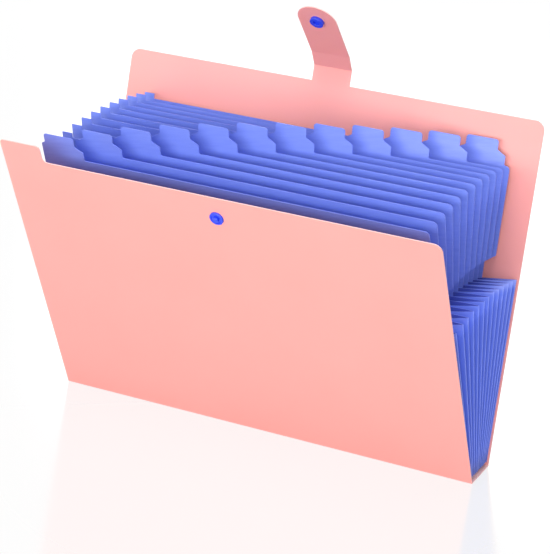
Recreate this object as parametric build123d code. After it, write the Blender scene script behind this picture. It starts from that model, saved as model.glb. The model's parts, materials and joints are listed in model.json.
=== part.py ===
from build123d import *
from math import cos, radians, sin, tan
import os

# An accordion file folder, standing open. Two covers and a base strip of creased sheet hold twelve
# tabbed dividers between pleated side gussets. A strap on the back cover snaps onto the front cover.
# X runs along the width, Y from front to back and Z up. The origin is under the middle of the base.
# Lengths are in millimetres and angles in degrees. A lean is from upright, positive to the back.

# Overall
cover_width = 330.0
base_depth = 29.0
front_height = 220.0
back_height = 245.0
front_splay = 19.5
back_splay = 17.2

# Sheets, and the clearances round creases and welds
cover_sheet = 0.8
divider_sheet = 0.4
pleat_sheet = 0.3
crease_gap = 0.3
weld_gap = 0.1

# Front cover, with a raised ear at its left end
ear_width = 32.0
ear_rise = 13.5
ear_radius = 3.0
ear_notch_radius = 4.0
front_corner_radius = 6.0

# Back cover
back_corner_radius = 7.0

# Strap: the bridge stands up from the back cover and is set in a bend, the tongue has a round end
strap_width = 30.0
strap_root_length = 11.4
strap_bridge_length = 12.5
tongue_reach = 38.0
bridge_set = 39.2
tongue_set = 13.4

# Snaps: a stud on the front cover and a socket on the tongue, each riveted on by a cap's post
stud_drop = 17.4
snap_radius = 5.1
snap_floor = 0.8
stud_rim_height = 1.4
stud_rim_width = 1.3
nub_radius = 2.1
nub_height = 2.8
socket_play = 0.25
snap_edge = 0.3
cap_radius = 6.0
cap_thickness = 1.0
post_radius = 1.0
post_play = 0.1

# Dividers
divider_count = 12
divider_margin = 18.4
divider_height = 210.5
divider_corner_radius = 3.2
left_end_width = 8.2
left_end_rise = 3.8
left_end_radius = 0.5
first_pocket_angle = 4.75
last_pocket_angle = 0.84
neck_inset = 7.6
neck_height = 142.0
neck_rise = 5.6
neck_radius = 1.5

# Tabs, stepped along the dividers from the left of the first to the right of the last
tab_width = 24.0
tab_rise = 17.0
tab_radius = 2.2
tab_first_margin = 2.8
tab_last_margin = 11.0
tab_shoulder = 6.5
tab_shoulder_rise = 6.5
tab_step_rise = 10.0
tab_step_radius = 1.2

# Gusset pleats, one for each pocket at each end
pleat_start = 2.0
pleat_top_gap = 5.5
pleat_top_drop = 3.0
pleat_top_fall = 3.5
pleat_flange = 5.0
pleat_ridge_inset = 1.2
pleat_fold_gap = 0.1

# Worked out from the sizes above
pocket_count = divider_count + 1
pocket_pitch = base_depth / pocket_count
cover_foot_z = cover_sheet / 2
divider_foot_z = cover_sheet + crease_gap + divider_sheet / 2
crease_room = cover_sheet / 2 + crease_gap
stud_height = front_height - stud_drop
socket_height = snap_floor + nub_height - stud_rim_height + socket_play
divider_width = cover_width - 2 * divider_margin
neck_width = divider_width - 2 * neck_inset
pleat_height = neck_height - pleat_top_gap


def panel_leans():
    """Lean of the front cover, of each divider in turn, and of the back cover."""
    first = first_pocket_angle - front_splay
    last = back_splay - last_pocket_angle
    fan = (last - first) / (divider_count - 1)
    return [-front_splay, *[first + fan * i for i in range(divider_count)], back_splay]


def panel_foot_y(index):
    """Place of a panel's foot line: 0 is the front cover, the last index the back cover."""
    return index * pocket_pitch - base_depth / 2


def up(lean):
    """Unit vector that climbs a panel of this lean."""
    return Vector(0, sin(radians(lean)), cos(radians(lean)))


def panel_plane(foot, lean):
    """Middle plane of a panel: local X along the width, local Y up the panel, local Z to the front."""
    return Plane(origin=foot, x_dir=(1, 0, 0), z_dir=Vector(1, 0, 0).cross(up(lean)))


def flat_sheet(face, thickness):
    """A face thickened evenly to both sides."""
    return extrude(face, amount=thickness / 2, both=True)


def rounded_foot(width, thickness):
    """Half-round strip along a sheet's lower edge, centred on the line that the sheet turns about."""
    radius = thickness / 2
    half_disc = make_face(
        [CenterArc((0, 0), radius, 90, 180), Line((0, -radius), (0, radius))]
    )
    return extrude(Plane.YZ * half_disc, amount=width / 2, both=True)


def base_strip():
    """Strip that the folder stands on, between the two cover creases."""
    strip = Box(cover_width, base_depth - 2 * crease_room, cover_sheet)
    return Pos(0, 0, cover_sheet / 2) * strip


def front_cover():
    """Front panel, with its ear and the hole for the stud's post."""
    edge = cover_width / 2
    ear_end = ear_width - edge
    ear_top = front_height + ear_rise
    outline = FilletPolyline(
        (-edge, 0),
        (-edge, ear_top),
        (ear_end, ear_top),
        (ear_end, front_height),
        (edge, front_height),
        (edge, 0),
        radius=[0, ear_radius, ear_radius, ear_notch_radius, front_corner_radius, 0],
        close=True,
    )
    post_hole = Pos(0, stud_height) * Circle(post_radius + post_play)
    panel = flat_sheet(make_face(outline) - post_hole, cover_sheet)
    return front_plane * (panel + rounded_foot(cover_width, cover_sheet))


def back_cover():
    """Back panel, cut back at the middle of its top edge where the strap's crease runs."""
    edge = cover_width / 2
    slot = strap_width / 2 + crease_gap
    slot_floor = back_height - crease_room
    outline = FilletPolyline(
        (-edge, 0),
        (-edge, back_height),
        (-slot, back_height),
        (-slot, slot_floor),
        (slot, slot_floor),
        (slot, back_height),
        (edge, back_height),
        (edge, 0),
        radius=[0, back_corner_radius, 0, 0, 0, 0, back_corner_radius, 0],
        close=True,
    )
    panel = flat_sheet(make_face(outline), cover_sheet)
    return back_plane * (panel + rounded_foot(cover_width, cover_sheet))


def strap_bridge():
    """Lower part of the strap: a strip set in one bend, ending short of the tongue's crease."""
    half = cover_sheet / 2
    mitre = half * tan(radians(bridge_set / 2))
    bend = Vector(strap_root_length, 0)
    onward = Vector(cos(radians(bridge_set)), sin(radians(bridge_set)))
    across = Vector(-onward.Y, onward.X) * half
    end = bend + onward * (strap_bridge_length - crease_room)
    side = Polyline(
        (0, -half),
        bend + Vector(mitre, -half),
        end - across,
        end + across,
        bend + Vector(-mitre, half),
        (0, half),
        close=True,
    )
    strip = extrude(Plane.YZ * make_face(side), amount=strap_width / 2, both=True)
    return strap_plane * (strip + rounded_foot(strap_width, cover_sheet))


def strap_tongue():
    """Round-ended end of the strap, with the hole for the socket's post."""
    straight = Pos(0, tongue_reach / 2) * Rectangle(strap_width, tongue_reach)
    round_end = Pos(0, tongue_reach) * Circle(strap_width / 2)
    post_hole = Pos(0, tongue_reach) * Circle(post_radius + post_play)
    strip = flat_sheet(straight + round_end - post_hole, cover_sheet)
    return tongue_plane * (strip + rounded_foot(strap_width, cover_sheet))


def turned(*points):
    """Solid turned about local Z from half-section points (radius, height)."""
    section = make_face(Polyline(*points, close=True))
    return revolve(Plane.XZ * section, axis=Axis.Z)


def snap_stud():
    """Stud: a shallow dish with a nub in the middle, hollow below for the post."""
    bore = post_radius + post_play
    rim_inside = snap_radius - stud_rim_width
    return turned(
        (bore, 0),
        (snap_radius, 0),
        (snap_radius, stud_rim_height - snap_edge),
        (snap_radius - snap_edge, stud_rim_height),
        (rim_inside, stud_rim_height),
        (rim_inside - snap_edge, snap_floor),
        (nub_radius, snap_floor),
        (nub_radius, nub_height - snap_edge),
        (nub_radius - snap_edge, nub_height),
        (0, nub_height),
        (0, stud_rim_height),
        (bore, stud_rim_height),
    )


def snap_socket():
    """Socket: a thick ring whose well takes the nub, bored through its floor for the post."""
    bore = post_radius + post_play
    well = nub_radius + socket_play
    return turned(
        (bore, 0),
        (snap_radius, 0),
        (snap_radius, socket_height - snap_edge),
        (snap_radius - snap_edge, socket_height),
        (well + snap_edge, socket_height),
        (well, socket_height - snap_edge),
        (well, snap_floor),
        (bore, snap_floor),
    )


def snap_cap(post_top):
    """Cap behind a sheet, with a post that runs through the sheet and up into the snap."""
    back = -cover_sheet - cap_thickness
    return turned(
        (0, back),
        (cap_radius - snap_edge, back),
        (cap_radius, back + snap_edge),
        (cap_radius, -cover_sheet),
        (post_radius, -cover_sheet),
        (post_radius, post_top),
        (0, post_top),
    )


def tab_side(edge, top, tab_end, outward):
    """Outline from a divider's side edge up to the top of its tab, as (point, radius) pairs.

    outward is -1 at the tab's left and 1 at its right. The divider's left end stands up in a low step,
    and its right end is a rounded corner. A shoulder that would run into its end of the divider is cut
    off by the side edge.
    """
    shoulder = tab_end + outward * tab_shoulder
    step_top = (tab_end, top + tab_step_rise)
    tab_top = (tab_end, top + tab_rise)
    if outward < 0:
        end_room = left_end_width + left_end_radius + tab_step_radius
        end = [
            ((-edge, top + left_end_rise), left_end_radius),
            ((left_end_width - edge, top + left_end_rise), left_end_radius),
            ((left_end_width - edge, top), left_end_radius),
        ]
    else:
        end_room = divider_corner_radius + tab_step_radius
        end = [((edge, top), divider_corner_radius)]
    if edge - abs(shoulder) < end_room:
        corner = edge - abs(tab_end)
        drop = corner * (tab_step_rise - tab_shoulder_rise) / tab_shoulder
        foot = [((outward * edge, top + tab_step_rise - drop), tab_step_radius)]
    else:
        foot = [
            *end,
            ((shoulder, top), tab_step_radius),
            ((shoulder, top + tab_shoulder_rise), tab_step_radius),
        ]
    return [*foot, (step_top, tab_step_radius), (tab_top, tab_radius)]


def divider(number):
    """Divider panel, counted from 1 at the front: a neck between the gussets, then shoulders and a tab."""
    edge = divider_width / 2
    neck = neck_width / 2
    tab_run = divider_width - tab_first_margin - tab_last_margin - tab_width
    tab_left = tab_first_margin - edge + tab_run * (number - 1) / (divider_count - 1)
    left_side = tab_side(edge, divider_height, tab_left, -1)
    right_side = tab_side(edge, divider_height, tab_left + tab_width, 1)
    corners = [
        ((-neck, 0), 0),
        ((-neck, neck_height), neck_radius),
        ((-edge, neck_height + neck_rise), neck_radius),
        *left_side,
        *reversed(right_side),
        ((edge, neck_height + neck_rise), neck_radius),
        ((neck, neck_height), neck_radius),
        ((neck, 0), 0),
    ]
    points = [point for point, radius in corners]
    radii = [radius for point, radius in corners]
    panel = flat_sheet(make_face(FilletPolyline(*points, radius=radii, close=True)), divider_sheet)
    foot = Vector(0, panel_foot_y(number), divider_foot_z)
    return panel_plane(foot, leans[number]) * (panel + rounded_foot(neck_width, divider_sheet))


def pleat(pocket):
    """Gusset pleat at the right end of a pocket: a sheet folded in a V that opens into the pocket.

    Its two edges lie as flanges along the necks of the panels before and behind. Its top falls from
    the ridge inwards, and the tops step down from the first pocket to the last.
    """
    before, behind = leans[pocket - 1], leans[pocket]
    middle = (before + behind) / 2
    opening = tan(radians((behind - before) / 2))
    foot = Vector(0, (panel_foot_y(pocket - 1) + panel_foot_y(pocket)) / 2, divider_foot_z)
    half_pitch = pocket_pitch / 2 * cos(radians(middle))
    before_sheet = cover_sheet if pocket == 1 else divider_sheet
    behind_sheet = cover_sheet if pocket == pocket_count else divider_sheet
    valley = neck_width / 2
    flange_end = valley - pleat_flange
    ridge = cover_width / 2 - pleat_ridge_inset
    fold = pleat_sheet + pleat_fold_gap / 2
    behind_way = Vector(1, 0, 0).cross(up(middle)) * -1
    top = pleat_height - pleat_top_drop * (pocket - 1) / (pocket_count - 1)

    def section(height, fall):
        """Outline across the pleat: fall is how far it drops from the ridge to the valley."""

        def point(x, panel_side, inset):
            drop = fall * (ridge - x) / (ridge - valley)
            sheet = before_sheet if panel_side < 0 else behind_sheet
            reach = half_pitch + (height - drop) * opening - sheet / 2 - weld_gap
            y = panel_side * ((fold if x > valley else reach) - inset)
            return foot + Vector(x, 0, 0) + up(middle) * (height - drop) + behind_way * y

        outside = [point(x, -1, 0) for x in (flange_end, valley, ridge)]
        outside += [point(x, 1, 0) for x in (ridge, valley, flange_end)]
        inside = [point(x, 1, pleat_sheet) for x in (flange_end, valley, ridge - pleat_sheet)]
        inside += [point(x, -1, pleat_sheet) for x in (ridge - pleat_sheet, valley, flange_end)]
        return make_face(Polyline(*outside, *inside, close=True))

    return loft([section(pleat_start, 0), section(top, pleat_top_fall)], ruled=True)


# Planes of the covers and of the strap's two parts
leans = panel_leans()
bridge_lean = back_splay - bridge_set
tongue_lean = bridge_lean - tongue_set
front_foot = Vector(0, panel_foot_y(0), cover_foot_z)
back_foot = Vector(0, panel_foot_y(pocket_count), cover_foot_z)
strap_crease = back_foot + up(back_splay) * back_height
bridge_bend = strap_crease + up(back_splay) * strap_root_length
tongue_crease = bridge_bend + up(bridge_lean) * strap_bridge_length
front_plane = panel_plane(front_foot, -front_splay)
back_plane = panel_plane(back_foot, back_splay)
strap_plane = panel_plane(strap_crease, back_splay)
tongue_plane = panel_plane(tongue_crease, tongue_lean)

# Each snap stands on the front face of its sheet
stud_seat = front_plane * Pos(0, stud_height, cover_sheet / 2)
socket_seat = tongue_plane * Pos(0, tongue_reach, cover_sheet / 2)

pieces = {
    "base_strip": base_strip(),
    "front_cover": front_cover(),
    "back_cover": back_cover(),
    "strap_bridge": strap_bridge(),
    "strap_tongue": strap_tongue(),
    "front_snap_stud": stud_seat * snap_stud(),
    "front_snap_cap": stud_seat * snap_cap(stud_rim_height - post_play),
    "strap_snap_socket": socket_seat * snap_socket(),
    "strap_snap_cap": socket_seat * snap_cap(snap_floor),
}
for number in range(1, divider_count + 1):
    pieces[f"divider_{number:02d}"] = divider(number)
for pocket in range(1, pocket_count + 1):
    right_pleat = pleat(pocket)
    pieces[f"right_pleat_{pocket:02d}"] = right_pleat
    pieces[f"left_pleat_{pocket:02d}"] = mirror(right_pleat, about=Plane.YZ)

os.makedirs("parts", exist_ok=True)
for name, piece in pieces.items():
    export_step(piece, f"parts/{name}.step")
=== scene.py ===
"""Looks of an accordion file folder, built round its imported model.

The folder stands open on its base strip. X runs along its width, Y from front to back and Z up.
Lengths are in metres and angles in degrees, unless a name says otherwise.
"""
import json
import math
import random

import bmesh
import bpy
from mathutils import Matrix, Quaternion, Vector


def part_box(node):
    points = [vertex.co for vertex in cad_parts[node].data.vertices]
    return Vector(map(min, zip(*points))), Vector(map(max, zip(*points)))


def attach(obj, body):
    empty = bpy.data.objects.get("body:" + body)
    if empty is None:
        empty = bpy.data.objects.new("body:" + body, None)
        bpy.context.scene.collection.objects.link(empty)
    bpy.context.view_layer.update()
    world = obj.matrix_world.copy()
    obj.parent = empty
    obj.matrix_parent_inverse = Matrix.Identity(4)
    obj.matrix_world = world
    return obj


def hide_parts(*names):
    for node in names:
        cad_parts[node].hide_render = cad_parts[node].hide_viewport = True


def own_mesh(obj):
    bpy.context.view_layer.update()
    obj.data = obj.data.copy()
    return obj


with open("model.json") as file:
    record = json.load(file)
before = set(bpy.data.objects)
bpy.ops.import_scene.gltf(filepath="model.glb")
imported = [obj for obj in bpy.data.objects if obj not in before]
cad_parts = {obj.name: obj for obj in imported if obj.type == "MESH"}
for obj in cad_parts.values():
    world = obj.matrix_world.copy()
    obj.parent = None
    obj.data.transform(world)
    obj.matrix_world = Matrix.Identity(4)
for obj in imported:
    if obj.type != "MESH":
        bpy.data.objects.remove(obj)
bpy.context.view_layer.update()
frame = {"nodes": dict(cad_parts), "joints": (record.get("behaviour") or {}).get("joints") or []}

# Base strip and covers. One sheet of pink polypropylene, die cut and creased into a front, a narrow base
# and a taller back. The sheet leaves its rollers with a fine matt grain. Its cut edges are painted paler,
# partly as the sheet's own paler cut and partly as a painted highlight where they catch the light.
MM = 0.001
cover_sheet = 0.8 * MM
cover_pink = "#FFABA4"
cover_deep_pink = "#FFA69F"
# The cut edges are painted this paler pink, partly the sheet's own pale cut and partly a painted highlight.
cover_edge_highlight_pink = "#FFCCC7"
cover_grain = 1.6 * MM  # the real grain is about 0.3 mm, drawn coarser so that it shows
cover_grain_depth = 0.02 * MM
cover_clouds = (70 * MM, 70 * MM, 70 * MM)  # lengths of the faint clouds in the pigment, along X, Y and Z
polypropylene_ior = 1.49
cloud_low, cloud_high = 0.3, 0.7  # the cloud pattern's values lie mostly between these
gloss_spread = 0.05  # how much the roughness rises and falls with the clouds
face_share, edge_share = 0.75, 0.5  # how squarely a surface looks along Y: a sheet's face, and its cut edge


def linear(hex_colour):
    """An sRGB hex colour as linear red, green, blue and alpha."""
    shares = [int(hex_colour[i:i + 2], 16) / 255 for i in (1, 3, 5)]
    return [s / 12.92 if s <= 0.04045 else ((s + 0.055) / 1.055) ** 2.4 for s in shares] + [1]


def add_node(tree, kind, inputs, **properties):
    """Adds a shader node. Each input takes a value, or the output socket that it is linked to."""
    made = tree.nodes.new("ShaderNode" + kind)
    for name, value in properties.items():
        setattr(made, name, value)
    for name, value in inputs.items():
        if isinstance(value, bpy.types.NodeSocket):
            tree.links.new(value, made.inputs[name])
        else:
            made.inputs[name].default_value = value
    return made


def polypropylene_sheet(name, face, deep, edge, grain, grain_depth, clouds, cloud_tilt, roughness):
    """Rolled polypropylene: faint clouds or streaks, a fine matt grain, and an edge colour on cut edges and
    folds, which where it is paler is a painted highlight.
    """
    material = bpy.data.materials.new(name)
    material.use_nodes = True
    tree = material.node_tree
    tree.nodes.clear()
    place = add_node(tree, "TexCoord", {})
    cloud_place = add_node(
        tree,
        "Mapping",
        {
            "Vector": place.outputs["Object"],
            "Rotation": (0, math.radians(-cloud_tilt), 0),
            "Scale": clouds,
        },
        vector_type="TEXTURE",
    )
    cloud = add_node(tree, "TexNoise", {"Vector": cloud_place.outputs["Vector"], "Scale": 1, "Detail": 2})
    face_colour = add_node(
        tree,
        "Mix",
        {"Factor": cloud.outputs["Fac"], "A": linear(face), "B": linear(deep)},
        data_type="RGBA",
    )
    # A sheet's two faces look along Y, and its cut edges don't. The cut edges take the edge colour, a painted
    # highlight where it is paler.
    facing = add_node(tree, "SeparateXYZ", {"Vector": place.outputs["Normal"]})
    facing_y = add_node(tree, "Math", {0: facing.outputs["Y"]}, operation="ABSOLUTE")
    edge_highlight_mask = add_node(
        tree,
        "MapRange",
        {"Value": facing_y.outputs["Value"], "From Min": face_share, "From Max": edge_share},
    )
    colour = add_node(
        tree,
        "Mix",
        {"Factor": edge_highlight_mask.outputs["Result"], "A": face_colour.outputs["Result"], "B": linear(edge)},
        data_type="RGBA",
    )
    bumps = add_node(
        tree, "TexNoise", {"Vector": place.outputs["Object"], "Scale": 1 / grain, "Detail": 3}
    )
    surface = add_node(
        tree, "Bump", {"Height": bumps.outputs["Fac"], "Distance": grain_depth, "Strength": 1}
    )
    gloss = add_node(
        tree,
        "MapRange",
        {
            "Value": cloud.outputs["Fac"],
            "From Min": cloud_low,
            "From Max": cloud_high,
            "To Min": roughness - gloss_spread,
            "To Max": roughness + gloss_spread,
        },
    )
    sheet = add_node(
        tree,
        "BsdfPrincipled",
        {
            "Base Color": colour.outputs["Result"],
            "Roughness": gloss.outputs["Result"],
            "IOR": polypropylene_ior,
            "Normal": surface.outputs["Normal"],
        },
    )
    add_node(tree, "OutputMaterial", {"Surface": sheet.outputs["BSDF"]})
    return material


def set_finish(names, material):
    """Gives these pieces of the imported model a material."""
    for name in names:
        frame["nodes"][name].material_slots[0].material = material


pink_sheet = polypropylene_sheet(
    "pink polypropylene sheet",
    cover_pink,
    cover_deep_pink,
    cover_edge_highlight_pink,
    cover_grain,
    cover_grain_depth,
    cover_clouds,
    cloud_tilt=0,
    roughness=0.5,
)
set_finish(["base_strip", "front_cover", "back_cover"], pink_sheet)

# Creases. Each fold line is rolled into the sheet, so the sheet runs on unbroken from one panel to the next.
# A crease piece is the last strip of one panel, hollowed to the round foot of the panel that turns in it.
crease_length = 0.7 * MM
crease_play = 0.01 * MM
crease_arc_steps = 8
joint_places = {joint["name"]: Vector(joint["pos_m"]) for joint in frame["joints"]}


def node_width(node):
    """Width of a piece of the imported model, along X."""
    low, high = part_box(node)
    return high.x - low.x


def link_shape(name, shape, material):
    """An object of this bmesh and material, in the scene."""
    mesh = bpy.data.meshes.new(name)
    shape.to_mesh(mesh)
    shape.free()
    mesh.materials.append(material)
    made = bpy.data.objects.new(name, mesh)
    bpy.context.scene.collection.objects.link(made)
    return made


def crease(name, joint, towards, width, body):
    """Strip from the fold line of a joint towards the panel that it belongs to, riding on that panel."""
    along = Vector(towards).normalized()
    across = Vector((1, 0, 0)).cross(along)
    half = cover_sheet / 2
    hollow = half + crease_play
    turns = [math.pi * (step / crease_arc_steps - 0.5) for step in range(crease_arc_steps + 1)]
    section = [(crease_length, -half)]
    section += [(hollow * math.cos(turn), half * math.sin(turn)) for turn in turns]
    section += [(crease_length, half)]
    start = joint_places[joint] - Vector((width / 2, 0, 0))
    shape = bmesh.new()
    end_face = shape.faces.new([shape.verts.new(start + along * x + across * y) for x, y in section])
    moved = bmesh.ops.extrude_face_region(shape, geom=[end_face])["geom"]
    bmesh.ops.translate(
        shape, verts=[v for v in moved if isinstance(v, bmesh.types.BMVert)], vec=(width, 0, 0)
    )
    bmesh.ops.recalc_face_normals(shape, faces=shape.faces)
    strip = link_shape(name, shape, pink_sheet)
    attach(strip, body)


cover_width = node_width("base_strip")
crease("front_crease", "front_cover_fold", (0, 1, 0), cover_width, "base")
crease("back_crease", "back_cover_fold", (0, -1, 0), cover_width, "base")

# Strap. Part of the same pink sheet: it stands up from the middle of the back cover's top edge, leans over
# in a set crease, and ends in a round tongue. It turns in a crease at its root and another at its tongue.
strap_root_length = 11.4 * MM
strap_width = node_width("strap_bridge")
back_climb = (joint_places["strap_root_fold"] - joint_places["back_cover_fold"]).normalized()
strap_bend = joint_places["strap_root_fold"] + back_climb * strap_root_length
tongue_to_bend = strap_bend - joint_places["strap_tongue_fold"]
set_finish(["strap_bridge", "strap_tongue"], pink_sheet)
crease("strap_root_crease", "strap_root_fold", -back_climb, strap_width, "back_cover")
crease("strap_tongue_crease", "strap_tongue_fold", tongue_to_bend, strap_width, "strap_bridge")

# Dividers. Twelve thin blue polypropylene sheets, die cut with a stepped tab each, and welded by their necks
# to the gussets. They are satin, a little smoother than the covers.
divider_count = 12
divider_blue = "#859BF6"
divider_deep_blue = "#7389EC"
divider_edge_blue = "#8798FC"
divider_streaks = (16 * MM, 16 * MM, 1.6 * MM)  # marks of the rollers, drawn coarser so that they show
thin_grain = 1.2 * MM  # the grain of the thin blue sheets, drawn coarser so that it shows
thin_grain_depth = 0.01 * MM

blue_sheet = polypropylene_sheet(
    "blue polypropylene sheet",
    divider_blue,
    divider_deep_blue,
    divider_edge_blue,
    thin_grain,
    thin_grain_depth,
    divider_streaks,
    cloud_tilt=10,
    roughness=0.38,
)
set_finish([f"divider_{number:02d}" for number in range(1, divider_count + 1)], blue_sheet)

# Gussets. At each end one thin blue film is pleated into a V for each pocket. Its outer folds are rounded
# and catch the light. They and its top edges are painted paler, partly as the film's stress whitening and
# partly as a painted highlight. Its inner face is painted a deeper blue, as painted shade in the gaps between
# the pleats. Its inner folds are welded to the dividers' necks, and it folds flat as the covers close.
pocket_count = divider_count + 1
front_splay, back_splay = 19.5, 17.2
first_pocket_angle, last_pocket_angle = 4.75, 0.84
first_lean = first_pocket_angle - front_splay
divider_fan = (back_splay - last_pocket_angle - first_lean) / (divider_count - 1)
panel_leans = [-front_splay, *[first_lean + divider_fan * i for i in range(divider_count)], back_splay]
divider_foot_z = 1.3 * MM
gusset_blue = "#6A84F0"
gusset_deep_blue = "#627CEA"
# The outer folds and top edges are painted this paler blue, partly as the film's stress whitening and partly
# as a painted highlight.
gusset_fold_highlight_blue = "#8FA2FF"
gusset_painted_shade_blue = "#4254C6"  # painted shade: the film's inner face is given a deeper blue, so that the gaps between the pleats look dark
gusset_clouds = (30 * MM, 30 * MM, 30 * MM)
pleat_sheet = 0.3 * MM
pleat_flange_end = 134 * MM
pleat_valley = 139 * MM
pleat_ridge = 163.6 * MM
pleat_fold_radius = 0.35 * MM
pleat_start = 2 * MM
pleat_height = 136.5 * MM
pleat_top_drop = 3 * MM  # from the first pocket to the last
pleat_top_fall = 3.5 * MM  # from the ridge inwards
pleat_bow = 0.5 * MM
full_bow_reach = 3 * MM  # where half the pleat's depth is less than this, its walls bow less
weld_gap = 0.25 * MM
ridge_play = (-0.25 * MM, 0.15 * MM)  # the folds are a little uneven in how far they reach out
top_play = (-0.4 * MM, 0.4 * MM)  # and in how high they stand
side_steps = 6
fold_steps = 6
height_steps = 10
pleat_random = random.Random(7)

gusset_film = polypropylene_sheet(
    "blue polypropylene film",
    gusset_blue,
    gusset_deep_blue,
    gusset_fold_highlight_blue,
    thin_grain,
    thin_grain_depth,
    gusset_clouds,
    cloud_tilt=0,
    roughness=0.36,
)
# Painted shade: the inner face of the same film, in a deeper blue, so that the gaps between the pleats look
# dark.
gusset_painted_shade_lining = polypropylene_sheet(
    "blue polypropylene film, inner face in painted shade",
    gusset_painted_shade_blue,
    gusset_painted_shade_blue,
    gusset_painted_shade_blue,
    thin_grain,
    thin_grain_depth,
    gusset_clouds,
    cloud_tilt=0,
    roughness=0.5,
)


def panel_joint(index):
    """Name of the joint that a panel turns in: 0 is the front cover, the last index the back cover."""
    if index == 0:
        return "front_cover_fold"
    return "back_cover_fold" if index == pocket_count else f"divider_{index:02d}_lean"


def climb(lean):
    """Unit vector up a panel of this lean."""
    return Vector((0, math.sin(math.radians(lean)), math.cos(math.radians(lean))))


def pleat(pocket, side):
    """V pleat at one end of a pocket: side is 1 at the right and -1 at the left."""
    before, behind = panel_leans[pocket - 1], panel_leans[pocket]
    middle = (before + behind) / 2
    opening = math.tan(math.radians((behind - before) / 2))
    feet = [joint_places[panel_joint(index)].y for index in (pocket - 1, pocket)]
    foot = Vector((0, sum(feet) / 2, divider_foot_z))
    half_pitch = (feet[1] - feet[0]) / 2 * math.cos(math.radians(middle))
    forward = Vector((1, 0, 0)).cross(climb(middle))
    ridge = pleat_ridge + pleat_random.uniform(*ridge_play)
    top = pleat_height - pleat_top_drop * (pocket - 1) / (pocket_count - 1)
    top += pleat_random.uniform(*top_play)

    def height(x, share):
        """Height of a point this share of the way up to the top edge, which falls inwards from the ridge."""
        edge = top - pleat_top_fall * (ridge - x) / (ridge - pleat_valley)
        return pleat_start + (edge - pleat_start) * share

    shape = bmesh.new()
    rows = []
    for row in range(height_steps + 1):
        up_share = row / height_steps
        wall = [(pleat_flange_end, 0)]
        for step in range(side_steps + 1):
            share = step / side_steps
            wall.append((pleat_valley + (ridge - pleat_fold_radius - pleat_valley) * share, share))
        outline = []
        for x, share in wall:
            reach = half_pitch + height(x, up_share) * opening - cover_sheet / 2 - weld_gap
            bow = pleat_bow * math.sin(math.pi * share) * min(1, reach / full_bow_reach)
            outline.append((x, reach + (pleat_fold_radius - reach) * share + bow))
        for step in range(1, fold_steps):
            turn = math.pi * step / fold_steps
            x = ridge - pleat_fold_radius + pleat_fold_radius * math.sin(turn)
            outline.append((x, pleat_fold_radius * math.cos(turn)))
        outline += [(x, -y) for x, y in reversed(outline[:len(wall)])]
        rows.append(
            [
                shape.verts.new(
                    foot + climb(middle) * height(x, up_share) + Vector((side * x, 0, 0)) + forward * y
                )
                for x, y in outline
            ]
        )
    for low, high in zip(rows, rows[1:]):
        for i in range(len(low) - 1):
            face = shape.faces.new((low[i], low[i + 1], high[i + 1], high[i])[::side])
            face.smooth = True
    end = "right" if side > 0 else "left"
    fold = link_shape(f"{end}_gusset_fold_{pocket:02d}", shape, gusset_film)
    # The film's inner faces take the deeper blue of the painted shade.
    fold.data.materials.append(gusset_painted_shade_lining)
    thickness = fold.modifiers.new("sheet", "SOLIDIFY")
    thickness.thickness = pleat_sheet
    thickness.offset = 0
    thickness.material_offset = 1
    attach(fold, "back_cover" if pocket == pocket_count else f"divider_{pocket:02d}")
    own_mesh(fold)
    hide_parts(f"{end}_pleat_{pocket:02d}")


for pocket in range(1, pocket_count + 1):
    for side in (1, -1):
        pleat(pocket, side)

# Snaps. A stud on the front cover and a socket on the tongue, moulded in royal blue acetal, each riveted
# through the sheet to a plain cap behind it. The polished mould leaves them glossy, with a slight ripple.
snap_blue = "#2F4BEE"
snap_roughness = 0.25
snap_ripple_size = 1.5 * MM
snap_ripple_depth = 0.02 * MM
acetal_ior = 1.48

snap_plastic = bpy.data.materials.new("royal blue acetal")
snap_plastic.use_nodes = True
snap_tree = snap_plastic.node_tree
snap_tree.nodes.clear()
snap_place = add_node(snap_tree, "TexCoord", {})
snap_ripple = add_node(
    snap_tree, "TexNoise", {"Vector": snap_place.outputs["Object"], "Scale": 1 / snap_ripple_size}
)
snap_surface = add_node(
    snap_tree, "Bump", {"Height": snap_ripple.outputs["Fac"], "Distance": snap_ripple_depth}
)
snap_shader = add_node(
    snap_tree,
    "BsdfPrincipled",
    {
        "Base Color": linear(snap_blue),
        "Roughness": snap_roughness,
        "IOR": acetal_ior,
        "Normal": snap_surface.outputs["Normal"],
    },
)
add_node(snap_tree, "OutputMaterial", {"Surface": snap_shader.outputs["BSDF"]})
set_finish(["front_snap_stud", "front_snap_cap", "strap_snap_socket", "strap_snap_cap"], snap_plastic)

# Floor. A pale lacquered studio table, which reaches past the picture on all sides and looks white. It keeps
# a faint shadow of the folder, which fades with the distance from it, and a soft reflection.
floor_reach = 6
table_pale_grey = "#CCCCCC"
plain_white = "#FFFFFF"
lacquer_roughness = 0.2
lacquer_ior = 1.45
shadow_near, shadow_far = 0.2, 1.0  # the shadow fades out between these distances from the folder's middle
shadow_share = 0.08
mirror_share = 0.11
mirror_roughness = 0.12


def seen_or_mirrored(tree):
    """Socket that is 1 for what the camera sees, straight or in a reflection or through glass, and else 0."""
    path = add_node(tree, "LightPath", {})
    mirrored = add_node(
        tree,
        "Math",
        {0: path.outputs["Is Glossy Ray"], 1: path.outputs["Is Transmission Ray"]},
        operation="MAXIMUM",
    )
    seen = add_node(
        tree,
        "Math",
        {0: path.outputs["Is Camera Ray"], 1: mirrored.outputs["Value"]},
        operation="MAXIMUM",
    )
    return seen.outputs["Value"]


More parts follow.
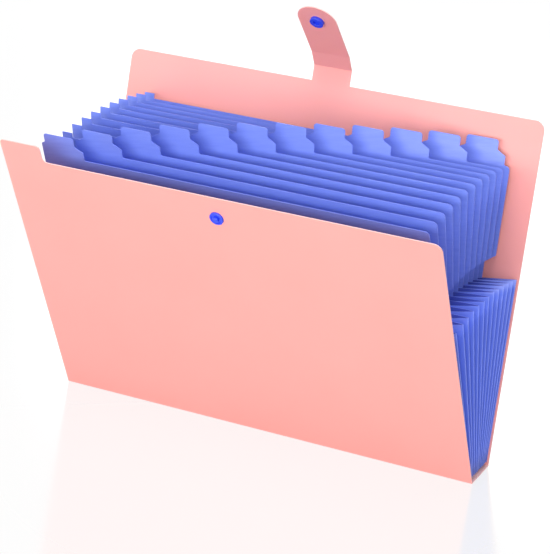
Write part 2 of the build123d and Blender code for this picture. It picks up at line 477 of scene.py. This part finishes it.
white_table = bpy.data.materials.new("white table")
white_table.use_nodes = True
table_tree = white_table.node_tree
table_tree.nodes.clear()
table_place = add_node(table_tree, "TexCoord", {})
table_distance = add_node(
    table_tree, "VectorMath", {0: table_place.outputs["Object"]}, operation="LENGTH"
)
glow_share = add_node(
    table_tree,
    "MapRange",
    {
        "Value": table_distance.outputs["Value"],
        "From Min": shadow_near,
        "From Max": shadow_far,
        "To Min": 1 - shadow_share,
        "To Max": 1,
    },
)
seen_glow_share = add_node(
    table_tree,
    "Math",
    {0: seen_or_mirrored(table_tree), 1: glow_share.outputs["Result"]},
    operation="MULTIPLY",
)
table_lacquer = add_node(
    table_tree,
    "BsdfPrincipled",
    {"Base Color": linear(table_pale_grey), "Roughness": lacquer_roughness, "IOR": lacquer_ior},
)
table_glow = add_node(table_tree, "Emission", {"Color": linear(plain_white), "Strength": 1})
table_surface = add_node(
    table_tree,
    "MixShader",
    {
        0: seen_glow_share.outputs["Value"],
        1: table_lacquer.outputs["BSDF"],
        2: table_glow.outputs["Emission"],
    },
)
table_mirror = add_node(
    table_tree,
    "BsdfPrincipled",
    {"Base Color": linear(plain_white), "Metallic": 1, "Roughness": mirror_roughness},
)
table_path = add_node(table_tree, "LightPath", {})
seen_mirror_share = add_node(
    table_tree,
    "Math",
    {0: table_path.outputs["Is Camera Ray"], 1: mirror_share},
    operation="MULTIPLY",
)
table_finish = add_node(
    table_tree,
    "MixShader",
    {
        0: seen_mirror_share.outputs["Value"],
        1: table_surface.outputs["Shader"],
        2: table_mirror.outputs["BSDF"],
    },
)
add_node(table_tree, "OutputMaterial", {"Surface": table_finish.outputs["Shader"]})
table_top = bmesh.new()
corners = [(-1, -1), (1, -1), (1, 1), (-1, 1)]
table_top.faces.new([table_top.verts.new((x * floor_reach, y * floor_reach, 0)) for x, y in corners])
link_shape("floor", table_top, white_table)

# Light. An even white surround, a wide low bank of light in front and another behind, a softbox overhead
# and one at each side. The surround looks plain white, and lights the folder less than it looks.
surround_light = 0.22
wide_bank = {"size": (2.0, 0.6), "distance": 1.4, "aim": (0, 0, 0.3)}
square_box = {"size": (1.2, 1.2), "distance": 1.8, "aim": (0, 0, 0.2)}

world = bpy.data.worlds.new("studio")
bpy.context.scene.world = world
world.use_nodes = True
world_tree = world.node_tree
world_tree.nodes.clear()
surround_strength = add_node(
    world_tree,
    "MapRange",
    {"Value": seen_or_mirrored(world_tree), "To Min": surround_light, "To Max": 1},
)
surround = add_node(
    world_tree,
    "Background",
    {"Color": linear(plain_white), "Strength": surround_strength.outputs["Result"]},
)
add_node(world_tree, "OutputWorld", {"Surface": surround.outputs["Background"]})


def bearing(azimuth, elevation):
    """Unit vector at this azimuth, counted from the front to the right, and this elevation."""
    turn, rise = math.radians(azimuth), math.radians(elevation)
    return Vector((math.sin(turn) * math.cos(rise), -math.cos(turn) * math.cos(rise), math.sin(rise)))


def softbox(name, size, power, azimuth, elevation, distance, aim):
    """Rectangular area lamp at this bearing from the point that it is aimed at."""
    lamp = bpy.data.lights.new(name, "AREA")
    lamp.shape = "RECTANGLE"
    lamp.size, lamp.size_y = size
    lamp.energy = power
    away = bearing(azimuth, elevation)
    stand = bpy.data.objects.new(name, lamp)
    stand.location = Vector(aim) + away * distance
    stand.rotation_euler = away.to_track_quat("Z", "Y").to_euler()
    bpy.context.scene.collection.objects.link(stand)


softbox("front bank", power=17.6, azimuth=3, elevation=8, **wide_bank)
softbox("back bank", power=13, azimuth=183, elevation=8, **wide_bank)
softbox("overhead softbox", power=20.5, azimuth=0, elevation=75, **square_box)
softbox("left softbox", power=7, azimuth=-75, elevation=40, **square_box)
softbox("right softbox", power=5, azimuth=70, elevation=30, **square_box)

# Camera. It stands at the photograph's place, to the right of the front and above, with a long lens.
# Its place and lens are fitted to the corners of the two covers in the photograph.
photo_height_px = 554
focal_px = 2257.35
film_height_mm = 36
camera_azimuth, camera_elevation, camera_roll = 27.224, 24.147, 0.715
camera_distance = 1599.46 * MM
camera_target = Vector((1.622, 0, 116.248)) * MM

lens = bpy.data.cameras.new("camera")
lens.sensor_fit = "VERTICAL"
lens.sensor_height = film_height_mm
lens.lens = focal_px / photo_height_px * film_height_mm
towards_camera = bearing(camera_azimuth, camera_elevation)
roll = Quaternion((0, 0, 1), math.radians(camera_roll))
camera = bpy.data.objects.new("camera", lens)
camera.location = camera_target + towards_camera * camera_distance
camera.rotation_mode = "QUATERNION"
camera.rotation_quaternion = towards_camera.to_track_quat("Z", "Y") @ roll
bpy.context.scene.collection.objects.link(camera)
bpy.context.scene.camera = camera
bpy.context.scene.view_settings.view_transform = "Standard"
